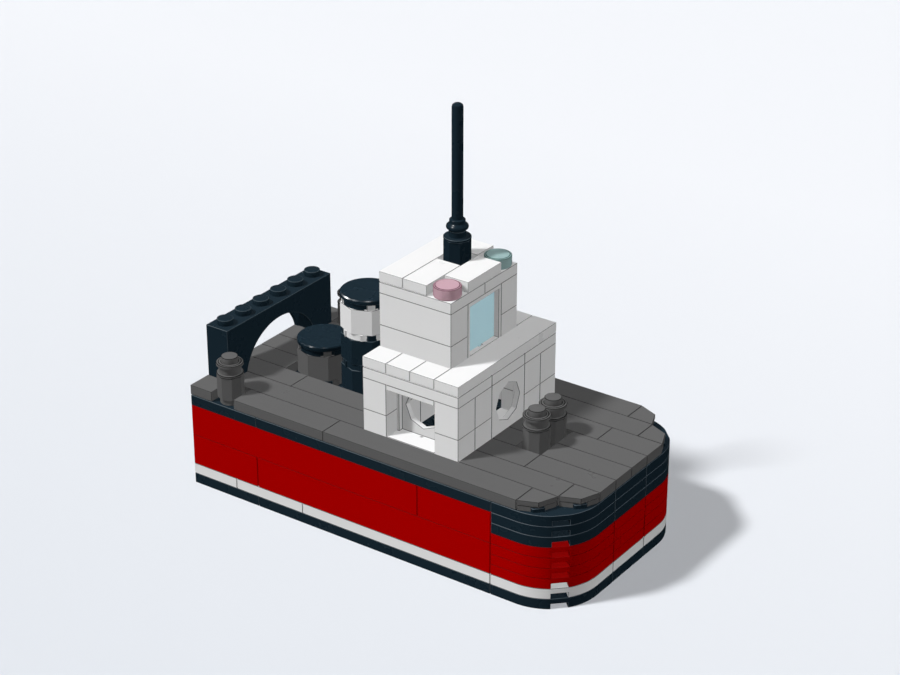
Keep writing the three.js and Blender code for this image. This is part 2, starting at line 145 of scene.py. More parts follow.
# %% Node helper and colours
def add_node(tree, kind, settings=None, links=None):
    """Adds one node, sets its values and wires sockets of earlier nodes into it."""
    node = tree.nodes.new(kind)
    for name, value in (settings or {}).items():
        if isinstance(name, int) or name in node.inputs:
            node.inputs[name].default_value = value
        else:
            setattr(node, name, value)
    for name, socket in (links or {}).items():
        tree.links.new(socket, node.inputs[name])
    return node


def linear(hex_colour):
    """Turns an sRGB colour such as #B40000 into the linear numbers that Blender mixes."""
    channels = [int(hex_colour[i:i + 2], 16) / 255 for i in (1, 3, 5)]
    return tuple(c / 12.92 if c <= 0.04045 else ((c + 0.055) / 1.055) ** 2.4 for c in channels) + (1.0,)


# %% The room's light
world = bpy.data.worlds.new("studio_room")
bpy.context.scene.world = world
world.use_nodes = True
room = world.node_tree
room.nodes.clear()
direction = add_node(room, "ShaderNodeTexCoord")
split = add_node(room, "ShaderNodeSeparateXYZ", links={"Vector": direction.outputs["Generated"]})
height = add_node(
    room, "ShaderNodeMapRange", {"From Min": -0.2, "From Max": 0.2, "To Min": 0.0, "To Max": 0.1},
    {"Value": split.outputs["Z"]})
# Mirror-like rays see a dimmer room, as they would between dark studio flats
ray = add_node(room, "ShaderNodeLightPath")
dimmed = add_node(
    room, "ShaderNodeMath", {"operation": "MULTIPLY", 1: 0.6}, {0: height.outputs["Result"]})
strength = add_node(room, "ShaderNodeMix", {"data_type": "FLOAT"}, {
    0: ray.outputs["Is Glossy Ray"], 2: height.outputs["Result"], 3: dimmed.outputs[0]})
background = add_node(
    room, "ShaderNodeBackground", {"Color": linear("#FBFCFF")}, {"Strength": strength.outputs[0]})
add_node(room, "ShaderNodeOutputWorld", links={"Surface": background.outputs[0]})
print("room light: 0.1 from above, none from below")

# %% [markdown]
# ## Floor
#
# The boat stands on a pale sheet. A subdivided plane that curves up far behind would also
# do, but the camera looks down and never sees the far end, so a flat sheet is enough. The sheet is
# painted darker near the camera and paler behind the boat, a painted fall-off of light. It is left
# out of the light that bounces around, because a black toy on a white sheet would otherwise turn
# grey at its foot.

# %% Floor
bpy.ops.object.select_all(action="DESELECT")
bpy.ops.mesh.primitive_plane_add(size=12, location=(0, 0, -0.00002))
floor = bpy.context.object
floor.name = "studio_floor"
floor.visible_diffuse = floor.visible_glossy = floor.visible_transmission = False
paper = bpy.data.materials.new("matt_studio_paper")
paper.use_nodes = True
tree = paper.node_tree
tree.nodes.clear()
place = add_node(tree, "ShaderNodeTexCoord")
across = add_node(tree, "ShaderNodeSeparateXYZ", links={"Vector": place.outputs["Object"]})
depth = add_node(
    tree, "ShaderNodeMapRange", {"From Min": -0.2, "From Max": 0.25}, {"Value": across.outputs["Y"]})
# Painted light: the sheet's colour runs from darker in front to paler behind, as light falling off
painted_falloff = add_node(tree, "ShaderNodeMix", {
    "data_type": "RGBA", 6: linear("#CACED4"), 7: linear("#DBDDE1")}, {0: depth.outputs["Result"]})
fibre = add_node(tree, "ShaderNodeTexNoise", {"Scale": 900.0, "Detail": 3.0}, {
    "Vector": place.outputs["Object"]})
tooth = add_node(
    tree, "ShaderNodeBump", {"Strength": 0.05, "Distance": 0.0002}, {"Height": fibre.outputs[0]})
shader = add_node(tree, "ShaderNodeBsdfPrincipled", {"Roughness": 0.95, "Specular IOR Level": 0.0}, {
    "Base Color": painted_falloff.outputs[2], "Normal": tooth.outputs[0]})
add_node(tree, "ShaderNodeOutputMaterial", links={"Surface": shader.outputs[0]})
floor.data.materials.append(paper)

# %% [markdown]
# ## Plastic
#
# The bricks are ABS, a hard, glossy plastic, coloured through and injected into polished steel
# moulds. Three things tell the eye so. The gloss is clear but a little soft (roughness near 0.3,
# index 1.53). A faint orange peel, about 0.8 mm from crest to crest, breaks up straight
# reflections. And handling leaves patches that shine a bit less. All of it is drawn by noise on
# Object coordinates, so it stays put on the piece when the piece moves. The picture to match mirrors
# less than such plastic does, most of all on red and black, so each plastic has its own shine.
#
# Each brick has a second finish for its edges, and it is painted light. On pale colours an edge is
# where light is lost, in the seam to the next brick, so its finish is painted shade, a thin dark line.
# On black the edge catches light, so its finish is a painted highlight, a pale line. A bevel in its own
# material gives that line at its real width, about a quarter of a millimetre at a seam.

# %% Moulded ABS
PEEL_WAVE = 0.0008  # metres from crest to crest of the orange peel


def moulded_abs(name, colour, roughness=0.3, shine=0.5):
    """Injection-moulded ABS, coloured through; at a shine of 0.5 it mirrors what its index gives."""
    material = bpy.data.materials.new(name)
    material.use_nodes = True
    tree = material.node_tree
    tree.nodes.clear()
    place = add_node(tree, "ShaderNodeTexCoord")
    peel = add_node(tree, "ShaderNodeTexNoise", {"Scale": 1 / PEEL_WAVE, "Detail": 2.0}, {
        "Vector": place.outputs["Object"]})
    waves = add_node(tree, "ShaderNodeBump", {"Strength": 0.12, "Distance": 0.00002}, {
        "Height": peel.outputs[0]})
    # Patches of about 12 mm, as wide as a fingertip, where handling has dulled the gloss
    patches = add_node(tree, "ShaderNodeTexNoise", {"Scale": 85.0, "Detail": 4.0, "Roughness": 0.6}, {
        "Vector": place.outputs["Object"]})
    dulled = add_node(tree, "ShaderNodeMapRange", {
        "From Min": 0.2, "From Max": 0.8, "To Min": roughness - 0.06, "To Max": roughness + 0.12}, {
        "Value": patches.outputs[0]})
    # The pigment is never mixed quite evenly: the colour drifts by about two hundredths
    drift = add_node(tree, "ShaderNodeTexNoise", {"Scale": 35.0, "Detail": 2.0}, {
        "Vector": place.outputs["Object"]})
    value = add_node(tree, "ShaderNodeMapRange", {"To Min": 0.975, "To Max": 1.025}, {
        "Value": drift.outputs[0]})
    pigment = add_node(tree, "ShaderNodeHueSaturation", {"Color": linear(colour)}, {
        "Value": value.outputs["Result"]})
    shader = add_node(tree, "ShaderNodeBsdfPrincipled", {"IOR": 1.53, "Specular IOR Level": shine}, {
        "Base Color": pigment.outputs[0], "Roughness": dulled.outputs["Result"],
        "Normal": waves.outputs[0]})
    add_node(tree, "ShaderNodeOutputMaterial", links={"Surface": shader.outputs[0]})
    return material


# A plastic is a pair: the finish of the faces, and that of the edges, which is painted shade or a
# painted highlight
SEAM_SHADE = {"roughness": 0.8, "shine": 0.1}
EDGE_HIGHLIGHT = {"roughness": 0.5, "shine": 0.2}
POLISHED = 0.24  # roughness of black faces
BLACK = (
    moulded_abs("black_abs", "#192730", POLISHED, shine=0.15),
    moulded_abs("black_abs_edge_highlight", "#3E4A51", **EDGE_HIGHLIGHT))
WHITE = (moulded_abs("white_abs", "#EAEAEA"), moulded_abs("white_abs_seam_shade", "#686868", **SEAM_SHADE))
RED = (moulded_abs("red_abs", "#A80000", shine=0.05), moulded_abs("red_abs_seam_shade", "#740000", **SEAM_SHADE))
GREY = (
    moulded_abs("dark_grey_abs", "#5E5E5E", shine=0.2),
    moulded_abs("dark_grey_abs_seam_shade", "#363636", **SEAM_SHADE))
# Painted highlight: the bow's black edges get a paler edge finish than the other black edges
BOW_EDGE_HIGHLIGHT_BLACK = (BLACK[0], moulded_abs("black_abs_bow_edge_highlight", "#48525A", **EDGE_HIGHLIGHT))
print(len(bpy.data.materials), "materials so far")


# %% [markdown]
# ## Clear plastic
#
# The window and the two lamps are tinted clear plastic. A real window of it is never quite
# invisible: it is tinted through, and fine moulding haze scatters some light inside. So the shader
# lets only part of the light through and keeps the rest as soft colour, which is how such a small
# clear brick looks against its white neighbours. The window pane also glows faintly: painted light,
# emitted by the pane itself, which stands for light of the room behind it and stays free of noise.

# %% Clear tinted plastic
def clear_plastic(name, colour, clear=0.2, painted_glow=0.0):
    """Tinted clear plastic: the share of light that passes, and a painted glow for light from the room
    behind it.
    """
    material = bpy.data.materials.new(name)
    material.use_nodes = True
    tree = material.node_tree
    tree.nodes.clear()
    place = add_node(tree, "ShaderNodeTexCoord")
    flow = add_node(tree, "ShaderNodeTexNoise", {"Scale": 160.0, "Detail": 3.0}, {
        "Vector": place.outputs["Object"]})
    haze = add_node(tree, "ShaderNodeMapRange", {"To Min": 0.08, "To Max": 0.22}, {
        "Value": flow.outputs[0]})
    ripple = add_node(tree, "ShaderNodeBump", {"Strength": 0.08, "Distance": 0.00003}, {
        "Height": flow.outputs[0]})
    shader = add_node(tree, "ShaderNodeBsdfPrincipled", {
        "Base Color": linear(colour), "IOR": 1.49, "Transmission Weight": clear,
        "Emission Color": linear(colour), "Emission Strength": painted_glow}, {
        "Roughness": haze.outputs["Result"], "Normal": ripple.outputs[0]})
    add_node(tree, "ShaderNodeOutputMaterial", links={"Surface": shader.outputs[0]})
    return material


# The pane's faint glow is painted light, for light of the room behind it
WINDOW_BLUE = (
    clear_plastic("clear_blue_window", "#C2E8F2", clear=0.1, painted_glow=0.107),
    clear_plastic("clear_blue_edge", "#6F98A2"))
LAMP_PINK = (clear_plastic("clear_pink_lamp", "#D0ABB7"), clear_plastic("clear_pink_edge", "#6A4453"))
LAMP_GREEN = (clear_plastic("clear_green_lamp", "#9FBCBC"), clear_plastic("clear_green_edge", "#3E5C58"))

# %% [markdown]
# ## The brick grid
#
# All pieces sit on one grid: studs stand 8 mm apart, a plate is 3.2 mm high, and a brick is three
# plates. Each brick's sides stand a tenth of a millimetre inside its grid lines, or a long row could
# not be pressed together. Working in studs and plates keeps every number below small and whole.

# %% The brick grid
STUD = 0.008  # from stud to stud
PLATE = 0.0032  # height of a plate or tile
PLAY = 0.0001  # each side stands this far inside its grid line
EDGE = 0.00012  # softened edge of a moulded brick
WALL = 0.0015  # thickness of the walls round a hollow
MM = 0.001
STUD_RADIUS, STUD_HEIGHT = 2.4, 1.7  # millimetres, as are the profiles of all round pieces
LENGTH, BEAM = 16, 8  # studs
BOW_RADIUS = 2 * STUD
DECK, TILES = 9, 10  # plates up to the deck, and to the top of its tiles

STERN = cad_box[0][0] - PLAY
STARBOARD = cad_box[0][1] - PLAY
KEEL = cad_box[0][2]


def at(x, y, z):
    """The place of a grid point: studs from the stern, studs from starboard, plates up."""
    return Vector((STERN + x * STUD, STARBOARD + y * STUD, KEEL + z * PLATE))


HOME = at(0, 0, 0)  # patterns are made here, then copied to their places
print("bow end of the grid:", [round(value, 4) for value in at(LENGTH, BEAM, DECK)])


# %% [markdown]
# ## Working by hand, in code
#
# The steps below are the ones a modeller repeats all day: deselect everything, select one thing,
# apply a modifier, cut one form with another, join parts to one mesh. Selecting comes first
# every time, because an operator acts on all that is selected.

# %% Selecting, joining and cutting
def only(*pieces):
    """Deselects everything, then selects these pieces; the first one is active."""
    bpy.ops.object.select_all(action="DESELECT")
    for piece in pieces:
        piece.select_set(True)
    bpy.context.view_layer.objects.active = pieces[0]


def select_parts(piece, faces=None, edges=None):
    """In edit mode, selects the faces or edges whose middle and direction pass a test."""
    mesh = bmesh.from_edit_mesh(piece.data)
    bpy.ops.mesh.select_all(action="DESELECT")
    for face in mesh.faces if faces else ():
        if faces(face.calc_center_median(), face.normal):
            face.select_set(True)
    for edge in mesh.edges if edges else ():
        a, b = (vertex.co for vertex in edge.verts)
        if edges((a + b) / 2, (b - a).normalized()):
            edge.select_set(True)
    bmesh.update_edit_mesh(piece.data)


def apply_modifier(piece, kind, **settings):
    """Adds a modifier with its settings and applies it."""
    only(piece)
    modifier = piece.modifiers.new("step", kind)
    for name, value in settings.items():
        setattr(modifier, name, value)
    bpy.ops.object.modifier_apply(modifier="step")


def cut(piece, *cutters, keep="DIFFERENCE"):
    """Cuts a piece with others, which are used up."""
    for cutter in cutters:
        apply_modifier(piece, "BOOLEAN", operation=keep, object=cutter, solver="EXACT")
        bpy.data.objects.remove(cutter)
    return piece


def slice_off(place, direction):
    """In edit mode, takes off what lies beyond a plane, in its direction, and closes the cut."""
    bpy.ops.mesh.select_all(action="SELECT")
    bpy.ops.mesh.bisect(
        plane_co=place, plane_no=direction, use_fill=True, clear_outer=True, threshold=1e-7)


def join(parts):
    """Joins parts to one mesh."""
    only(*parts)
    if len(parts) > 1:
        bpy.ops.object.join()
    return parts[0]


def copied(piece, offset=(0, 0, 0), turn=0.0, about=(0, 0, 0), mirror=False):
    """A copy with its own mesh, turned about an upright axis, mirrored to port, and moved."""
    copy = piece.copy()
    copy.data = piece.data.copy()
    bpy.context.scene.collection.objects.link(copy)
    about = Vector(about)
    spin = Matrix.Rotation(turn, 4, "Z")
    copy.data.transform(Matrix.Translation(Vector(offset) + about) @ spin @ Matrix.Translation(-about))
    if mirror:
        copy.data.transform(Matrix.Scale(-1, 4, (0, 1, 0)))
        only(copy)
        bpy.ops.object.mode_set(mode="EDIT")
        bpy.ops.mesh.select_all(action="SELECT")
        bpy.ops.mesh.flip_normals()
        bpy.ops.object.mode_set(mode="OBJECT")
    return copy


def paint(piece, plastic):
    """Gives a piece the finish of a plastic, for its faces and its edges."""
    slots = piece.data.materials
    for index, material in enumerate(plastic):
        if index < len(slots):
            slots[index] = material
        else:
            slots.append(material)
    return piece


# %% [markdown]
# ## Primitives at their place
#
# A brick begins as a cube between two grid points, and a round piece as a stack of rings: a
# filled circle is extruded up, step by step, and each new ring is scaled to its radius. That is
# how a turned part is drawn by hand, and it leaves no seam, where spinning a profile needs its
# ends welded. Softened edges come last, when all cuts are made, from a bevel that only takes the
# sharp edges and paints them with the edge finish.

# %% Blocks, turned forms and softened edges
def block(low, high, plastic=WHITE):
    """A cube stretched between two places."""
    bpy.ops.object.select_all(action="DESELECT")
    bpy.ops.mesh.primitive_cube_add(size=1, location=(low + high) / 2, scale=high - low)
    bpy.ops.object.transform_apply(location=True, rotation=True, scale=True)
    return paint(bpy.context.object, plastic)


def mm_block(*values):
    """A block from six numbers in millimetres: low x, y, z and high x, y, z."""
    return block(Vector(values[:3]) * MM, Vector(values[3:]) * MM)


def turned(centre, profile, sides, plastic=WHITE):
    """Rings of (radius, height) in millimetres, extruded and scaled one after the other."""
    (radius, height), *rest = profile
    bpy.ops.object.select_all(action="DESELECT")
    bpy.ops.mesh.primitive_circle_add(
        vertices=sides, radius=radius * MM, fill_type="NGON",
        location=centre + Vector((0, 0, height * MM)))
    bpy.ops.object.transform_apply(location=True, rotation=True, scale=True)
    bpy.ops.object.mode_set(mode="EDIT")
    bpy.ops.mesh.select_all(action="SELECT")
    for next_radius, next_height in rest:
        bpy.ops.mesh.extrude_region_move(
            TRANSFORM_OT_translate={"value": (0, 0, (next_height - height) * MM)})
        bpy.ops.transform.resize(value=(next_radius / radius, next_radius / radius, 1))
        radius, height = next_radius, next_height
    bpy.ops.mesh.select_all(action="SELECT")
    bpy.ops.mesh.normals_make_consistent(inside=False)
    bpy.ops.object.mode_set(mode="OBJECT")
    return paint(bpy.context.object, plastic)


def soften(piece, width=EDGE, segments=1, sharper_than=38):
    """Softens the edges that are sharper than an angle, and gives them the edge finish."""
    apply_modifier(piece, "BEVEL", width=width, segments=segments, limit_method="ANGLE",
                   angle_limit=math.radians(sharper_than), material=1, use_clamp_overlap=True)
    return piece


def smooth(piece, angle=30):
    """Shades curved walls smooth and leaves real edges crisp."""
    only(piece)
    bpy.ops.object.shade_smooth_by_angle(angle=math.radians(angle))
    return piece


# %% [markdown]
# ## Handing a piece in
#
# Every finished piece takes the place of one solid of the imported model, and rides on the same
# body. Its plastic follows from the record. The print compares its size with the solid's, which
# catches a slip of a stud at once.
#
# Real bricks throw light on each other and mirror each other a little. The picture to match has
# neither: its white walls stay even in the corners, and the deck in front of them is as dark as
# elsewhere. So each piece is hidden from the bounced and the mirrored rays of the others.

# %% Handing a piece in
PLASTICS = {
    "black_abs": BLACK, "white_abs": WHITE, "red_abs": RED, "dark_grey_abs": GREY,
    "blue_window_plastic": WINDOW_BLUE, "pink_lamp_plastic": LAMP_PINK, "green_lamp_plastic": LAMP_GREEN,
}
SLOT_OF = {part["node"]: part["material_slot"] for part in frame["record"]["subparts"]}
BODIES = frame["record"]["behaviour"]["bodies"]
BODY_OF = {node: body for body, nodes in BODIES.items() for node in nodes}


def hand_in(parts, node, plastic=None):
    """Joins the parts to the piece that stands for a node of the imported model."""
    piece = join(parts)
    piece.name = piece.data.name = "moulded_" + node
    paint(piece, plastic or PLASTICS[SLOT_OF[node]])
    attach(piece, BODY_OF[node])
    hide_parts(node)
    piece.visible_diffuse = piece.visible_glossy = False
    low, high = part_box(node)
    off = 0
    for axis in range(3):
        places = [vertex.co[axis] for vertex in piece.data.vertices]
        off = max(off, abs(min(places) - low[axis]), abs(max(places) - high[axis]))
    print(f"{node}: {len(piece.data.polygons)} faces, {off * 1000:.2f} mm from its solid's box")
    return piece


# %% [markdown]
# ## Bricks and plates
#
# A plain brick in a wall shows flat faces and the fine seams round it. The stack of courses is
# listed by grid place: aft, starboard and bottom, then fore, port and top. The hull's long bricks
# reach from side to side here, as nothing shows the empty hold between them. At the stern each
# course is divided across, with the seams staggered as in any wall that should hold.

# %% Plain bricks of the hull, the cabin and the wheelhouse
PLAIN_BRICKS = {
    "hull_stripe_stern": [(0, 0, 1, 2, 8, 2)],
    "hull_stripe_aft": [(2, 0, 1, 5, 8, 2)],
    "hull_stripe_main": [(5, 0, 1, 13, 8, 2)],
    "hull_lower_course_aft": [(0, 0, 2, 3, 2, 5), (0, 2, 2, 3, 6, 5), (0, 6, 2, 3, 8, 5)],
    "hull_lower_course_main": [(3, 0, 2, 13, 8, 5)],
    "hull_upper_course_main": [(0, 0, 5, 10, 4, 8), (0, 4, 5, 10, 8, 8)],
    "hull_upper_course_fore": [(10, 0, 5, 13, 8, 8)],
    "cabin_wall_stern": [(7, y, z, 8, y + 2, z + 3) for y in (1, 3, 5) for z in (9, 12)],
    "cabin_corner_starboard": [(10, y, z, 11, y + 1, z + 3) for y in (1, 2) for z in (9, 12)],
    "cabin_corner_port": [(10, y, z, 11, y + 1, z + 3) for y in (5, 6) for z in (9, 12)],
    "cabin_roof_plates": [(7, y, 15, 11, y + 2, 16) for y in (1, 3, 5)],
    "wheelhouse_wall_starboard": [(7, 2, z, 10, 3, z + 3) for z in (16, 19)],
    "wheelhouse_wall_port": [(7, 5, z, 10, 6, z + 3) for z in (16, 19)],
    "wheelhouse_wall_stern": [(7, 3, z, 8, 5, z + 3) for z in (16, 19)],
    "wheelhouse_roof_plates": [(7, 2, 22, 10, 4, 23), (7, 4, 22, 10, 6, 23)],
}


def brick(x0, y0, z0, x1, y1, z1):
    """A brick between two grid points, inside its grid lines by the play."""
    play = Vector((PLAY, PLAY, 0))
    return block(at(x0, y0, z0) + play, at(x1, y1, z1) - play)


for node, bricks in PLAIN_BRICKS.items():
    hand_in([soften(brick(*places)) for places in bricks], node)


# %% [markdown]
# ## Studs
#
# A stud is the knob that holds the next brick. It is drawn once, with a rim a little softer than
# the edge of a brick, and copied to where a stud is open: on the floor of the cabin, on the
# towing arch and on the posts. Where a tile or brick covers it, no stud is needed.

# %% One stud
stud_pattern = smooth(soften(turned(
    HOME, [(STUD_RADIUS, -0.4), (STUD_RADIUS, STUD_HEIGHT)], 32), width=0.00016, segments=2))


def studs(x0, y0, x1, y1, z):
    """Studs on a stretch of the grid, on top of a brick whose top is z plates up."""
    return [
        copied(stud_pattern, at(x + 0.5, y + 0.5, z) - HOME)
        for x in range(x0, x1) for y in range(y0, y1)]


# %% [markdown]
# Some studs only show a corner, through a notch on the diagonal of the round piece above. Four
# bisecting planes cut that corner out of a stud, flush with the piece that stands over it.

# %% The corner of a stud
def stud_corner(inner, outer, half_width, top):
    """The corner of a stud in a notch, on the diagonal to bow and starboard; all in millimetres."""
    stud_place = HOME + Vector((STUD / 2, -STUD / 2, 0))
    piece = turned(stud_place, [(STUD_RADIUS, -0.1), (STUD_RADIUS, top)], 16)
    outward = Vector((1, -1, 0)).normalized()
    across = Vector((1, 1, 0)).normalized()
    bpy.ops.object.mode_set(mode="EDIT")
    planes = ((outer, outward), (-inner, -outward), (half_width, across), (half_width, -across))
    for reach, direction in planes:
        slice_off(HOME + direction * reach * MM, direction)
    bpy.ops.object.mode_set(mode="OBJECT")
    return soften(piece)


# %% [markdown]
# ## Tiles
#
# A tile is a plate without studs. Its foot has a small groove all round, so that a fingernail can
# lift it off again. It is made by insetting the bottom face of the block and extruding it down.
# That groove, with the soft top edges, draws the deck's planking.

# %% A tile with its foot groove
GROOVE = 0.00025  # height and depth of the groove at the foot
TILE_EDGE = 0.00008  # tiles are polished, and crisper than bricks


def tile(x0, y0, z0, x1, y1, z1):
    """A tile between two grid points."""
    play = Vector((PLAY, PLAY, 0))
    low, high = at(x0, y0, z0) + play, at(x1, y1, z1) - play
    piece = block(low + Vector((0, 0, GROOVE)), high)
    only(piece)
    bpy.ops.object.mode_set(mode="EDIT")
    select_parts(piece, faces=lambda middle, normal: normal.z < -0.9)
    bpy.ops.mesh.inset(thickness=GROOVE)
    bpy.ops.mesh.extrude_region_move(TRANSFORM_OT_translate={"value": (0, 0, -GROOVE)})
    bpy.ops.object.mode_set(mode="OBJECT")
    return soften(piece, width=TILE_EDGE)


# %% [markdown]
# ## Quarter-round tiles
#
# The steps of the bow are filled with quarter-round tiles. Their curve is moulded as two flats.
# Below the smooth top slab runs a fine groove and a lower wall, set back a little, with a notch
# on the diagonal. In the notch the corner of a stud of the deck shows dark. A cylinder of eight
# sides has just these flats, and two bisecting planes leave the quarter that is needed.

# %% A quarter-round tile
SLAB = 1.85  # millimetres from the foot to the slab's underside
SLOT_TOP = 1.35  # and to the top of the notch
SLAB_RADIUS, THROAT_RADIUS, LOWER_RADIUS = 7.9, 7.35, 7.7  # of slab, groove and lower wall
TILE_SLOT_START, TILE_SLOT_WIDTH = 6.2, 3.7


def quarter_disc(radius, low, high, centre, side):
    """A quarter of an eight-sided disc, towards the bow and one side; heights in millimetres."""
    piece = turned(centre, [(radius, low), (radius, high)], 8)
    bpy.ops.object.mode_set(mode="EDIT")
    slice_off(centre + Vector((PLAY, 0, 0)), (-1, 0, 0))
    slice_off(centre + Vector((0, side * PLAY, 0)), (0, -side, 0))
    bpy.ops.object.mode_set(mode="OBJECT")
    return piece


def quarter_tile(x, y, side):
    """The tile that fills a step of the bow: side is -1 to starboard and 1 to port."""
    centre = at(x, y, DECK)
    slab = quarter_disc(SLAB_RADIUS, SLAB, 3.2, centre, side)
    throat = quarter_disc(THROAT_RADIUS, SLAB - 0.35, SLAB + 0.1, centre, side)
    foot = quarter_disc(LOWER_RADIUS, 0, SLAB - 0.25, centre, side)
    slot = mm_block(TILE_SLOT_START, -TILE_SLOT_WIDTH / 2, -1, 9, TILE_SLOT_WIDTH / 2, SLOT_TOP)
    slot.data.transform(Matrix.Translation(centre) @ Matrix.Rotation(side * math.pi / 4, 4, "Z"))
    return [soften(slab), throat, soften(cut(foot, slot))]


# %% [markdown]
# ## Deck
#
# The deck is laid with long dark grey tiles that run fore and aft. The list gives each tile's
# stretch of the grid, and the posts, funnels, cabin and arch stand in the spaces between them.

# %% Deck tiles
DECK_TILES = {
    "deck_tile_stern_starboard": [(0, 0, 1, 1)],
    "deck_tile_stern_port": [(0, 7, 1, 8)],
    "deck_tiles_starboard": [(2, 0, 6, 1), (6, 0, 14, 1)],
    "deck_tiles_port": [(2, 7, 6, 8), (6, 7, 14, 8)],
    "deck_tiles_aft": [
        (1, 1, 7, 2), (0, 2, 3, 3), (3, 2, 7, 3), (0, 3, 2, 4), (6, 3, 7, 4),
        (0, 4, 2, 5), (6, 4, 7, 5), (0, 5, 3, 6), (3, 5, 7, 6), (1, 6, 7, 7)],
    "deck_tiles_fore": [
        (11, 1, 15, 2), (11, 2, 13, 3), (13, 2, 16, 3), (11, 3, 12, 4), (13, 3, 16, 4),
        (11, 4, 12, 5), (13, 4, 16, 5), (11, 5, 14, 6), (14, 5, 16, 6), (11, 6, 15, 7)],
}
QUARTER_TILES = {
    "deck_tiles_starboard": [(14, 1, -1)],
    "deck_tiles_port": [(14, 7, 1)],
    "deck_tiles_fore": [(15, 2, -1), (15, 6, 1)],
}
for node, stretches in DECK_TILES.items():
    laid = [tile(x0, y0, DECK, x1, y1, TILES) for x0, y0, x1, y1 in stretches]
    for x, y, side in QUARTER_TILES.get(node, ()):
        laid += quarter_tile(x, y, side)
    hand_in(laid, node)

# %% Roof tiles
ROOF_TILES = {
    "cabin_roof_tile_bow": [(10, 1, 16, 11, 7, 17)],
    "cabin_roof_tiles_starboard": [(x, 1, 16, x + 1, 2, 17) for x in (7, 8, 9)],
    "cabin_roof_tiles_port": [(x, 6, 16, x + 1, 7, 17) for x in (7, 8, 9)],
    "wheelhouse_roof_tiles": [
        (7, 2, 23, 8, 6, 24), (8, 2, 23, 9, 4, 24), (8, 5, 23, 9, 6, 24), (9, 3, 23, 10, 5, 24)],
}
for node, tiles in ROOF_TILES.items():
    hand_in([tile(*places) for places in tiles], node)


# %% [markdown]
# ## Underside
#
# Plates are hollow below: a thin roof, thin walls, and a tube wherever four studs meet, which
# grips the studs between itself and the walls. Insetting the bottom face and pushing it up makes
# the hollow, and the same two steps on the end of a cylinder make the bore of a tube. The tube is
# made once and copied.

# %% Hollow plates with tubes
HOLLOW = 2.0  # depth of the underside's hollow in millimetres
TUBE_RADIUS = 3.25  # millimetres
TUBE_WALL = 0.00085


def press_in(piece, wall, depth):
    """Insets the underside by a wall and pushes it up, both in metres."""
    only(piece)
    bpy.ops.object.mode_set(mode="EDIT")
    lowest = min(vertex.co.z for vertex in piece.data.vertices)
    select_parts(piece, faces=lambda middle, normal: normal.z < -0.9 and middle.z < lowest + 0.0001)
    bpy.ops.mesh.inset(thickness=wall)
    bpy.ops.mesh.extrude_region_move(TRANSFORM_OT_translate={"value": (0, 0, depth)})
    bpy.ops.object.mode_set(mode="OBJECT")
    return piece


tube_pattern = smooth(soften(press_in(
    turned(HOME, [(TUBE_RADIUS, 0), (TUBE_RADIUS, 2.1)], 24), TUBE_WALL, HOLLOW * MM)))


def tubes(x0, y0, x1, y1):
    """Tubes where four studs of one plate meet."""
    return [
        copied(tube_pattern, at(x, y, 0) - HOME)
        for x in range(x0 + 1, x1) for y in range(y0 + 1, y1)]


BASE_PLATES = {
    "hull_base_aft": [(0, 0, 3, 2), (0, 2, 3, 4), (0, 4, 3, 6), (0, 6, 3, 8)],
    "hull_base_main": [(3, 0, 13, 2), (3, 2, 13, 6), (3, 6, 13, 8)],
}
for node, plates in BASE_PLATES.items():
    parts = []
    for x0, y0, x1, y1 in plates:
        parts.append(soften(press_in(brick(x0, y0, 0, x1, y1, 1), WALL, HOLLOW * MM)))
        parts += tubes(x0, y0, x1, y1)
    hand_in(parts, node)

# %% [markdown]
# ## The rounded bow
#
# The bow is nine layers of three plates: a corner plate to starboard, a straight one in the
# middle and a corner plate to port. The corner is the only big curve of the boat. It comes from
# one edge of a cube, bevelled by nearly 16 mm in many steps. On the diagonal the real plate has a
# flat of about 5 mm, and a notch under it that clears a stud. Stacked, the notches make the
# ladder at each side of the bow. The plate is made once, then copied up and mirrored.

# %% Corner plates
FLAT_WIDTH = 5.25  # millimetres, on the diagonal
NOTCH_WIDTH, NOTCH_HEIGHT, NOTCH_DEPTH = 4.75, 1.6, 3.8  # millimetres
CORNER = at(LENGTH - 2, 2, 0)  # centre of the starboard curve


def diagonal_block(reach, width, low, high):
    """A block across the diagonal of the starboard corner, from the curve inwards by a reach."""
    piece = block(
        Vector((BOW_RADIUS / MM - reach, -width / 2, low)) * MM,
        Vector((BOW_RADIUS / MM + 4, width / 2, high)) * MM)
    piece.data.transform(Matrix.Translation(CORNER) @ Matrix.Rotation(-math.pi / 4, 4, "Z"))
    return piece


def rounded_corner(inset, low, high):
    """A 3 by 3 stud block with the round corner, set in by a distance; heights in millimetres."""
    piece = block(
        at(13, 0, 0) + Vector((inset, inset, low * MM)),
        at(LENGTH, 3, 0) + Vector((-inset, -inset, high * MM)))
    corner = at(LENGTH, 0, 0)
    bpy.ops.object.mode_set(mode="EDIT")
    select_parts(piece, edges=lambda middle, along: abs(along.z) > 0.9 and (
        (middle - corner).to_2d().length < 2 * inset))
    bpy.ops.mesh.bevel(
        offset=BOW_RADIUS - inset, offset_type="OFFSET", segments=30, profile=0.5, affect="EDGES")
    bpy.ops.object.mode_set(mode="OBJECT")
    return piece


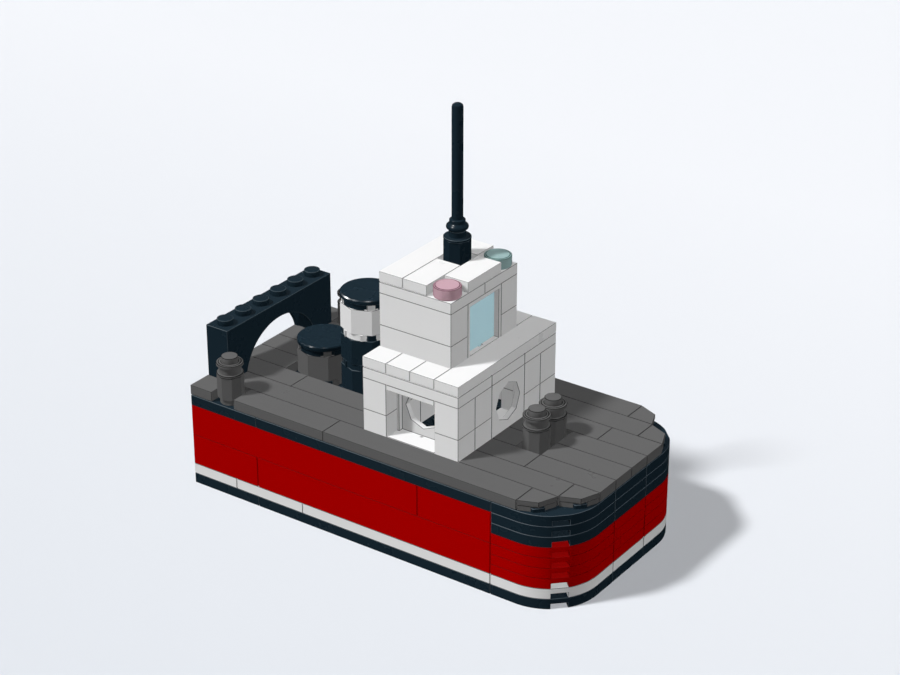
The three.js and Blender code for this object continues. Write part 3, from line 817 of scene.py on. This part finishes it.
def corner_plate(hollow):
    """The rounded plate of the starboard bow, in the lowest layer."""
    piece = rounded_corner(PLAY, 0, PLATE / MM)
    outward = Vector((1, -1, 0)).normalized()
    flat = math.sqrt((BOW_RADIUS - PLAY) ** 2 - (FLAT_WIDTH * MM / 2) ** 2)
    bpy.ops.object.mode_set(mode="EDIT")
    slice_off(CORNER + outward * flat, outward)
    bpy.ops.object.mode_set(mode="OBJECT")
    if hollow:
        room = rounded_corner(PLAY + WALL, -1, HOLLOW)
        cut(room, diagonal_block(NOTCH_DEPTH + WALL / MM, NOTCH_WIDTH + 2 * WALL / MM, -2, 3))
        cut(piece, room)
    return cut(piece, diagonal_block(NOTCH_DEPTH, NOTCH_WIDTH, -1, NOTCH_HEIGHT))


# Shows in the notch of a quarter-round tile
deck_stud_corner = stud_corner(inner=6.25, outer=7.6, half_width=1.8, top=1.2)
solid_corner = smooth(soften(corner_plate(False)), 20)
hollow_corner = smooth(soften(corner_plate(True)), 20)

# %% Bow layers
BOW_STACKS = {"bow_stripe_plates": (1, 2), "bow_red_plates": (2, 6), "bow_black_plates": (6, 9)}
for node, (low, high) in BOW_STACKS.items():
    parts = []
    for layer in range(low, high):
        up = at(0, 0, layer) - HOME
        parts += [
            copied(solid_corner, up), copied(solid_corner, up, mirror=True),
            soften(brick(13, 3, layer, LENGTH, 5, layer + 1))]
    if high == DECK:
        for x, y, side in sum(QUARTER_TILES.values(), []):
            turn = (side + 1) * math.pi / 4
            parts.append(copied(deck_stud_corner, at(x, y, DECK) - HOME, turn, about=HOME))
    # The black layers of the bow take the paler painted highlight on their edges
    hand_in(parts, node, BOW_EDGE_HIGHLIGHT_BLACK if node == "bow_black_plates" else None)

BOW_TUBES = [(14, 1), (14, 2), (15, 2), (14, 4), (15, 4), (15, 6), (14, 6), (14, 7)]
hand_in(
    [hollow_corner, copied(hollow_corner, mirror=True)]
    + [soften(press_in(brick(13, 3, 0, LENGTH, 5, 1), WALL, HOLLOW * MM))]
    + [copied(tube_pattern, at(x, y, 0) - HOME) for x, y in BOW_TUBES],
    "bow_base_plates")

# %% [markdown]
# ## Round bricks
#
# Two-by-two round bricks make the funnels. Their body is moulded with eight flats. Below it
# stands a narrower, truly round foot with a notch at each diagonal, through which a corner of the
# stud below can be seen. Flat cheeks stand out on both sides of the notch. The caps are plates of
# the same kind, but round all the way, with wider notches and no cheeks. Their rim has a chamfer
# of 0.3 mm, and that small slope catches the light in a thin bright line. Foot, body and stud
# corners are separate solids in one mesh, as they only touch.

# %% Round bricks and their stud corners
FOOT_HEIGHT = 1.8  # millimetres
FOOT_RADIUS = 7.35
BODY_RADIUS = 7.9
SLOT_WIDTH, CAP_SLOT_WIDTH = 2.9, 4.0
SLOT_START, CAP_SLOT_START = 5.6, 6.5  # from the middle of the brick
CHEEK_WIDTH, CHEEK_REACH = 6.4, 7.1  # flats on both sides of a notch, on the bricks only


def round_brick(x, y, z, plates, sides, rim=None):
    """A 2 by 2 round brick: a notched round foot under a body of some sides."""
    centre = at(x, y, z)
    foot = turned(centre, [(FOOT_RADIUS, 0), (FOOT_RADIUS, FOOT_HEIGHT + 0.1)], 64)
    for quarter in range(4):
        place = Matrix.Translation(centre) @ Matrix.Rotation(math.pi / 4 + quarter * math.pi / 2, 4, "Z")
        start, width = (CAP_SLOT_START, CAP_SLOT_WIDTH) if rim else (SLOT_START, SLOT_WIDTH)
        if not rim:
            cheek = mm_block(5, -CHEEK_WIDTH / 2, 0.02, CHEEK_REACH, CHEEK_WIDTH / 2, FOOT_HEIGHT + 0.05)
            cheek.data.transform(place)
            cut(foot, cheek, keep="UNION")
        slot = mm_block(start, -width / 2, -1, 9, width / 2, FOOT_HEIGHT + 0.08)
        slot.data.transform(place)
        cut(foot, slot)
    body = turned(centre, [(BODY_RADIUS, FOOT_HEIGHT), (BODY_RADIUS, plates * PLATE / MM)], sides)
    if rim:
        only(body)
        bpy.ops.object.mode_set(mode="EDIT")
        top = centre.z + plates * PLATE
        select_parts(body, edges=lambda middle, along: middle.z > top - 0.00005)
        bpy.ops.mesh.bevel(offset=rim * MM, offset_type="OFFSET", segments=1, affect="EDGES")
        bpy.ops.object.mode_set(mode="OBJECT")
    return [smooth(soften(foot)), smooth(soften(body, sharper_than=50), 35)]


stud_corner_pattern = stud_corner(inner=5.65, outer=7.4, half_width=1.2, top=1.65)


def stud_corners(x, y, z, quarters=range(4)):
    """Stud corners under a round piece z plates up; quarters count to port from the first."""
    return [
        copied(stud_corner_pattern, at(x, y, z) - HOME, turn=quarter * math.pi / 2, about=HOME)
        for quarter in quarters]


# %% Funnels
FUNNELS = [  # node, x, bottom, plates, sides, rim of the cap in millimetres
    ("short_funnel_brick", 3, 9, 3, 8, None),
    ("short_funnel_cap", 3, 12, 1, 64, 0.3),
    ("tall_funnel_lower_brick", 5, 9, 3, 8, None),
    ("tall_funnel_upper_brick", 5, 12, 3, 8, None),
    ("tall_funnel_band", 5, 15, 3, 8, None),
    ("tall_funnel_cap", 5, 18, 1, 64, 0.3),
]
# The caps hardly mirror the room
CAP_BLACK = (moulded_abs("black_abs_cap", "#192730", POLISHED, shine=0.05), BLACK[1])
caps = []
for node, x, bottom, plates, sides, rim in FUNNELS:
    parts = round_brick(x, BEAM / 2, bottom, plates, sides, rim)
    if not rim:
        parts += stud_corners(x, BEAM / 2, bottom + plates)
    piece = hand_in(parts, node, CAP_BLACK if rim else None)
    if rim:
        caps.append(piece)

# %% [markdown]
# The bright line on a cap's rim is a mirror image of a lamp. A round rim only shows it where its
# slope points halfway between lamp and eye, so a small lamp on the right bearing draws a short
# streak. Two such lamps do it here for each cap, and light linking keeps them off all the rest.

# %% Glints on the caps
GLINTS = [  # name, travel, energy on the short and on the tall funnel's cap
    ("stern_glint", (0.779, 0.256, -0.572), (0.3, 22)),
    ("front_glint", (-0.276, 0.36, -0.891), (0.3, 4)),
]
for name, travel, energies in GLINTS:
    for cap, energy in zip(caps, energies):
        glint = sun(f"{name}_{cap.name}", travel, energy, angle=3)
        glint.visible_diffuse = False
        receivers = bpy.data.collections.new("lit_by_" + glint.name)
        receivers.objects.link(cap)
        glint.light_linking.receiver_collection = receivers

# %% [markdown]
# ## Deck plates
#
# Under the tiles lie black plates, whose edge runs round the hull as a dark band. Inside the
# cabin they are bare, so its floor is dark and has open studs. At the feet of the funnels only
# the corners of their studs show. Three plates lie at the stern. A black block set half a
# millimetre in behind their seams is painted shade for those gaps, and keeps the red hull from
# showing between the tiles.

# %% Deck plates
set_in = Vector((0.5, 0.5, 0.5)) * MM
# A black block behind the seams: painted shade in the gaps between the stern plates
seam_shade_block = block(at(0, 0, 8) + set_in, at(3, 8, DECK) - set_in)
hand_in(
    [soften(brick(0, y0, 8, 3, y1, DECK)) for y0, y1 in ((0, 2), (2, 6), (6, 8))]
    + [seam_shade_block] + stud_corners(3, BEAM / 2, DECK, (2, 3)), "deck_plate_aft")
hand_in(
    [soften(brick(3, 0, 8, 13, 8, DECK))] + studs(8, 2, 10, 6, DECK)
    + stud_corners(3, BEAM / 2, DECK, (0, 1)) + stud_corners(5, BEAM / 2, DECK), "deck_plate_main")


# %% [markdown]
# ## Posts
#
# Two bollards at the stern and a pair of bitts at the bow hold lines. Each is a one-stud round
# brick with a round plate on it. The brick has eight flats between a round foot and a round rim,
# and the plate is a thin disc on a narrow neck. Rings of slightly different radius make all of
# that. Steps of 0.08 mm draw the rings on the disc and round its stud. Their sloping faces take the
# edge finish. The brick alone also serves as the foot of the mast.

# %% Posts
RING_STEP = 0.08  # millimetres
ROUND, NECK = 3.9, 3.2  # radii of one-stud round pieces, in millimetres


def one_stud_round(place, rim_sides, rim_edge=EDGE):
    """A one-stud round brick: a round foot, a body with eight flats and a round rim."""
    return [
        smooth(soften(turned(place, [(NECK, 0), (NECK, FOOT_HEIGHT)], 32))),
        soften(turned(place, [(ROUND, 1.7), (ROUND, 8.9)], 8), sharper_than=50),
        smooth(soften(turned(place, [(ROUND, 8.9), (ROUND, 9.6)], rim_sides), width=rim_edge)),
    ]


def ringed_disc(centre, low, high, rings, foot=ROUND):
    """A one-stud disc with fine dark rings on top: (radius, depth) pairs, all in millimetres."""
    rim = [(ROUND, low + 0.35), (ROUND, high - RING_STEP - 0.15), (3.72, high - RING_STEP)]
    piece = turned(centre, [(foot, low), (foot, low + 0.3)] + rim + [
        (radius, high - down) for radius, down in rings], 48)
    bpy.ops.object.mode_set(mode="EDIT")
    select_parts(piece, faces=lambda middle, normal: 0.05 < abs(normal.z) < 0.99)
    piece.active_material_index = 1
    bpy.ops.object.material_slot_assign()
    bpy.ops.object.mode_set(mode="OBJECT")
    return piece


# The inner ring runs round the stud
POST_RINGS = [(3.4, RING_STEP), (3.1, 0), (2.65, 0), (STUD_RADIUS, RING_STEP)]
post_pattern = join(one_stud_round(HOME, 48, rim_edge=0.0002) + [
    smooth(soften(turned(HOME, [(NECK, 9.5), (NECK, 12)], 32))),
    smooth(ringed_disc(HOME, 11.9, 12.8, POST_RINGS), 15),
    copied(stud_pattern, Vector((0, 0, 4 * PLATE))),
])
# The rings on the posts are too fine to catch light, so they read darker than a seam
DEEP_GREY = (GREY[0], moulded_abs("dark_grey_abs_deep_ring", "#262626", **SEAM_SHADE))
POSTS = [
    ("bollard_stern_starboard", 1.5, 0.5), ("bollard_stern_port", 1.5, 7.5),
    ("bitt_bow_starboard", 12.5, 3.5), ("bitt_bow_port", 12.5, 4.5),
]
for node, x, y in POSTS:
    hand_in([copied(post_pattern, at(x, y, DECK) - HOME)], node, DEEP_GREY)

# %% [markdown]
# ## Towing arch
#
# The tow line runs under an arch across the stern, six studs wide. It is cut from a block by a
# lying cylinder, flattened to nine tenths, because the real arch is a little lower than a half
# circle. From below it is hollow: two thin faces with air between them, which shows through the
# arch from a low angle.

# %% Towing arch
def lying_cylinder(centre, radius, length, sides, axis):
    """A cutter that lies along X or Y; its corners start at the top."""
    bpy.ops.object.select_all(action="DESELECT")
    turn = (0, math.pi / 2, 0) if axis == "X" else (math.pi / 2, 0, 0)
    bpy.ops.mesh.primitive_cylinder_add(
        vertices=sides, radius=radius, depth=length, location=centre, rotation=turn)
    bpy.ops.object.transform_apply(location=True, rotation=True, scale=True)
    return paint(bpy.context.object, WHITE)


FLATTENED = 0.9
on_deck = at(0, 0, DECK)
archway = lying_cylinder(at(0.5, 4, DECK), 2 * STUD, 3 * STUD, 96, "X")
archway.data.transform(
    Matrix.Translation(on_deck) @ Matrix.Scale(FLATTENED, 4, (0, 0, 1)) @ Matrix.Translation(-on_deck))
arch = soften(cut(brick(0, 1, DECK, 1, 7, 15), archway))
cut(
    arch,
    block(at(0, 2, DECK) + Vector((PLAY + WALL, 0, 0)), at(1, 6, 15) - Vector((PLAY + WALL, 0, WALL))),
    block(at(-1, 2, DECK - 1), at(2, 6, TILES)))  # the hollow, and room for the deck tiles
hand_in([smooth(arch, 20)] + studs(0, 1, 1, 7, 15), "towing_arch")

# %% [markdown]
# ## Porthole bricks
#
# Each is one moulded brick, two studs wide and two bricks high, with an eight-sided hole near its
# outer face. Its own walls are thin, and the thick floor makes a sill. At the bow
# the holed face looks out. At the sides the brick stands the other way round, so the sill and the
# recess are outside. One brick is cut from a block and copied three times.

# %% Porthole bricks
HOLE_RADIUS, HOLE_HEIGHT = 5.8, 11.2  # millimetres; the height is that of the hole's centre
FACE, SIDE, SIDE_DEPTH, SILL, HEAD = 1.75, 0.8, 3.2, 3.2, 1.6  # millimetres
BRICK_HEIGHT = 6 * PLATE / MM
half = (STUD - PLAY) / MM

# Width along X, the holed face at Y = 0, open towards +Y
porthole_pattern = cut(
    mm_block(-half, 0, 0, half, 7.8, BRICK_HEIGHT),
    mm_block(-half + SIDE, FACE, SILL, half - SIDE, 9, BRICK_HEIGHT - HEAD),
    mm_block(-9, SIDE_DEPTH, SILL, 9, 9, BRICK_HEIGHT - HEAD),
    lying_cylinder(Vector((0, 0, HOLE_HEIGHT)) * MM, HOLE_RADIUS * MM, 6 * MM, 8, "Y"))
soften(porthole_pattern, sharper_than=50)
sill_notch = mm_block(-0.5, FACE + 0.2, SILL - 0.8, 0.5, FACE + 1, SILL + 1)
cut(porthole_pattern, sill_notch)
PORTHOLES = [
    ("porthole_bow", at(11, 4, DECK) - Vector((PLAY, 0, 0)), math.pi / 2),
    ("porthole_starboard", at(9, 2, DECK) - Vector((0, PLAY, 0)), math.pi),
    ("porthole_port", at(9, 6, DECK) + Vector((0, PLAY, 0)), 0),
]
for node, where, turn in PORTHOLES:
    hand_in([copied(porthole_pattern, where, turn=turn)], node)

# %% [markdown]
# ## Wheelhouse window
#
# The window is a frame brick with a clear pane clipped in a little behind its face. A small tab
# of the pane sits in a notch of the sill. The frame is one block with one opening, which keeps
# its corners crisp, and the pane is a thin block with its own soft edges.

# %% Window
WINDOW_SIDE, WINDOW_HEAD, PANE_BACK, PANE = 1.0, 1.3, 1.45, 1.2  # millimetres
face_x = at(10, 4, 16).x - PLAY
window_low = Vector((face_x, at(0, 3, 0).y + PLAY + WINDOW_SIDE * MM, at(0, 0, 17).z))
window_high = Vector((
    face_x, at(0, 5, 0).y - PLAY - WINDOW_SIDE * MM, at(0, 0, 22).z - WINDOW_HEAD * MM))
tab_low = Vector((face_x - (PANE_BACK + PANE) * MM, -0.8 * MM, window_low.z - 0.6 * MM))
tab_high = Vector((face_x - (PANE_BACK - 0.4) * MM, 0.8 * MM, window_low.z + 0.2 * MM))
frame_brick = cut(
    brick(9, 3, 16, 10, 5, 22),
    block(window_low - Vector((0.02, 0, 0)), window_high + Vector((0.01, 0, 0))),
    block(tab_low, tab_high + Vector((0, 0, 0.001))))
hand_in([soften(frame_brick)], "wheelhouse_window_frame")

inside = Vector((0, 0.05, 0.05)) * MM
pane = block(
    window_low - Vector(((PANE_BACK + PANE) * MM, 0, 0)) + inside,
    window_high - Vector((PANE_BACK * MM, 0, 0)) - inside)
tab = block(tab_low + Vector((0.1, 0.1, 0.1)) * MM, tab_high - Vector((0.5, 0.1, 0)) * MM)
hand_in([soften(pane), soften(tab)], "wheelhouse_window_glass")

# %% [markdown]
# ## Lamps
#
# The side lamps are one-stud round tiles of clear plastic, pink to starboard and green to port. The
# wall below shows through the flat top as a fine darker ring, so the ringed disc of the posts
# serves here too, on a narrower foot.

# %% Lamps
for node, y in (("lamp_red", 2.5), ("lamp_green", 5.5)):
    disc = ringed_disc(at(9.5, y, 23), 0, 3.2, [(3.5, RING_STEP), (3.2, 0)], foot=3.75)
    hand_in([smooth(disc, 14)], node)

# %% [markdown]
# ## Mast
#
# A whip aerial stands in the open stud of a round brick on the wheelhouse. It is one turned
# piece: a pin below, a ball-like collar, a short sleeve, and a straight bar with a rounded tip. It is
# the only piece that turns, so it is kept apart from its base, with a little air around the pin.

# %% Mast base and mast
PIN, SOCKET = 1.45, 1.75  # radii in millimetres
seat = at(8.5, 4.5, 26)
base_body = join(one_stud_round(at(8.5, 4.5, 23), 32))
socket = cut(
    turned(seat, [(STUD_RADIUS, -3), (STUD_RADIUS, STUD_HEIGHT)], 32),
    turned(seat, [(SOCKET, -3.2), (SOCKET, 2.5)], 32))
hand_in([base_body, smooth(soften(socket))], "mast_base")

MAST_PROFILE = [
    (PIN, -1.6), (PIN, 2.0),
    (2.4, 2.0), (2.75, 2.1), (3.05, 2.4), (3.15, 2.8), (3.05, 3.2), (2.75, 3.5), (2.4, 3.75),  # collar
    (2.25, 3.95), (2.25, 4.85), (2.1, 5),  # sleeve
    (1.6, 5.1), (1.6, 37.4), (1.45, 37.95), (1.05, 38.28), (0.5, 38.4),  # bar and tip
]
hand_in([smooth(turned(seat, MAST_PROFILE, 32), 35)], "mast")

# %% [markdown]
# ## Clearing up
#
# The patterns that were only copied leave the scene.

# %% Clear up and finish
for pattern in (
        stud_pattern, tube_pattern, solid_corner, deck_stud_corner, stud_corner_pattern, post_pattern,
        porthole_pattern):
    bpy.data.objects.remove(pattern)
